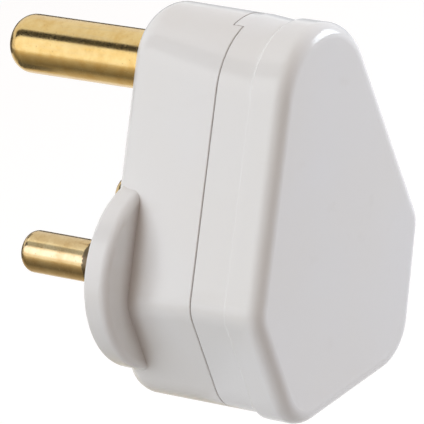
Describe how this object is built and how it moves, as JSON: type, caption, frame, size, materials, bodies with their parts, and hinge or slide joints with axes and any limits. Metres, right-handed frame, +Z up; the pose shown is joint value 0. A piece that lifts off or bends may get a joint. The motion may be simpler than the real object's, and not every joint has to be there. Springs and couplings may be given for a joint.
{
  "type": "round pin plug",
  "caption": "Small white plug with a tapering two-shell body, finger wings, a long round earth pin above shorter live and neutral pins, screw terminals inside and a cord entry at the foot.",
  "frame": {"origin": "the point of the pin face midway between the live and neutral pins", "axes": "+Y along the pins away from the body, +Z up towards the earth pin, +X to the live pin's side"},
  "size_m": [0.042, 0.0435, 0.0457],
  "materials": {
    "white_moulding": "smooth moulded gloss",
    "brass": "turned and polished",
    "plated_steel": "zinc plated",
    "grip_fibre": "moulded matt"
  },
  "bodies": {
    "root": {"base_housing": "white_moulding", "rear_cover": "white_moulding", "cover_screw": "plated_steel", "cover_insert": "brass", "cord_grip_strap": "grip_fibre", "cord_grip_screw_right": "plated_steel", "cord_grip_screw_left": "plated_steel", "earth_pin": "brass", "earth_terminal_screw": "plated_steel", "live_pin": "brass", "live_terminal_screw": "plated_steel", "neutral_pin": "brass", "neutral_terminal_screw": "plated_steel"}
  },
  "joints": []
}
